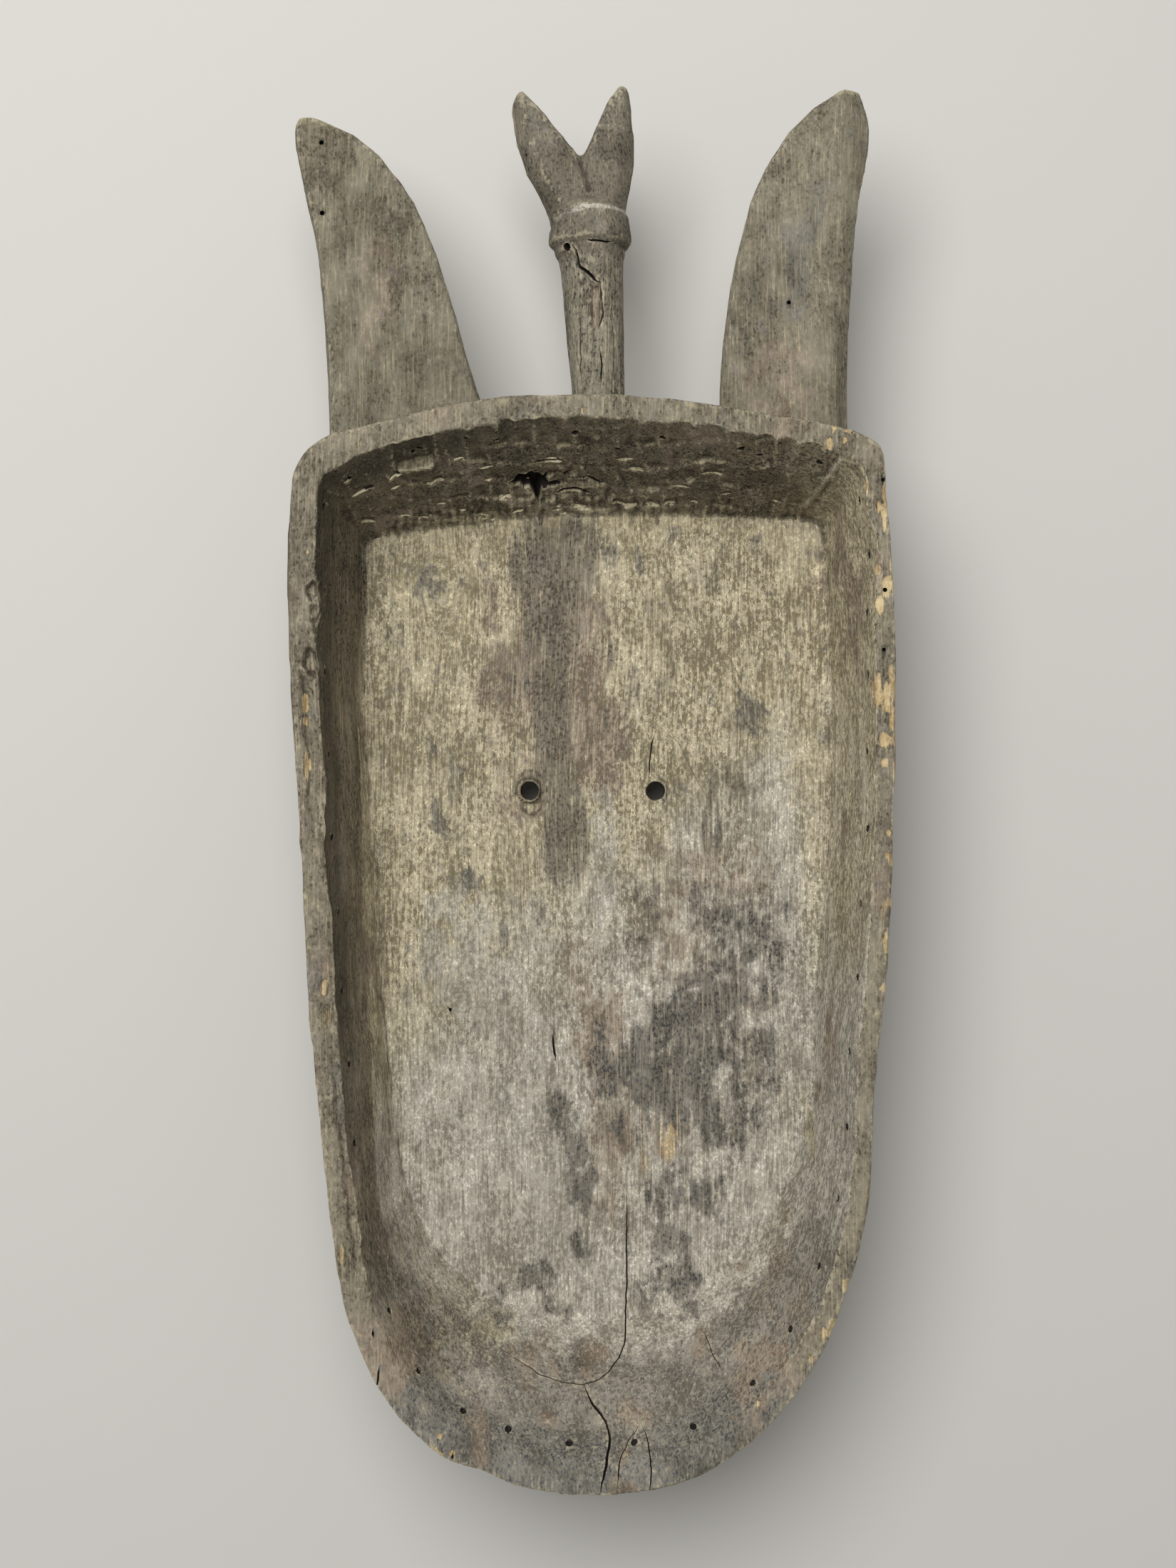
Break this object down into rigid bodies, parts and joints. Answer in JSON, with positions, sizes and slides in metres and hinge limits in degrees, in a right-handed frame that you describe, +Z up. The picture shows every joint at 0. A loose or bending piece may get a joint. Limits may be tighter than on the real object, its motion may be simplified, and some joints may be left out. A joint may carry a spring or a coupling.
{
  "type": "toma mask",
  "caption": "Long carved wooden face mask lying on its face: hollow back with a wide rim, two flat horns, a forked crest, a domed forehead and a long nose.",
  "frame": {"origin": "on the ground, under the middle of the mask's bounding box, with the mask lying on its face", "axes": "+Y along the mask from the chin to the horns, +X to the right seen from the hollow back, +Z up out of the hollow"},
  "size_m": [0.3126, 0.734, 0.128],
  "materials": {
    "aged_wood": "matt hand-carved hardwood, grey-brown with age, stained and worn to lighter wood along the rim"
  },
  "bodies": {
    "root": {"mask": "aged_wood"}
  },
  "joints": []
}
